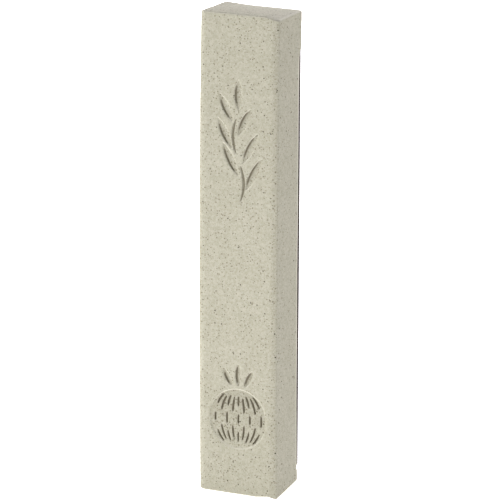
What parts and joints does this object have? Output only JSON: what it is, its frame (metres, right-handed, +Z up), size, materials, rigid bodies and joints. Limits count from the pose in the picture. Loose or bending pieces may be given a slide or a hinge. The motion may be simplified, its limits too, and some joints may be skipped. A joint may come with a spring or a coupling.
{
  "type": "mezuzah case",
  "caption": "Tall rounded doorpost case: a carved stone-look cover that slides up off a screw-on back plate holding a wrapped parchment roll in spring clips.",
  "frame": {"origin": "on the rear mounting face of the back plate, midway across, level with the middle of the cover's height", "axes": "+Z up the doorpost, -Y out of the carved front, +X across to the viewer's right"},
  "size_m": [0.0204, 0.0156, 0.12],
  "materials": {
    "cast_stone": "matt, finely speckled",
    "brown_plastic": "satin moulded",
    "parchment": "matt skin",
    "clear_film": "clear glossy film",
    "white_foam": "fine closed-cell foam",
    "release_paper": "smooth waxed"
  },
  "bodies": {
    "plate": {"back_plate": "brown_plastic", "adhesive_pads": "white_foam", "pad_liners": "release_paper"},
    "cover": {"case_body": "cast_stone"},
    "scroll": {"scroll_parchment": "parchment", "scroll_wrap": "clear_film"}
  },
  "joints": [
    {"name": "cover_slide", "type": "slide", "parent": "plate", "child": "cover", "axis": [0, 0, 1], "range_m": [0, 0.112]},
    {"name": "scroll_turn", "type": "hinge", "parent": "plate", "child": "scroll", "pos_m": [0, -0.00673, 0], "axis": [0, 0, 1], "continuous": true}
  ]
}
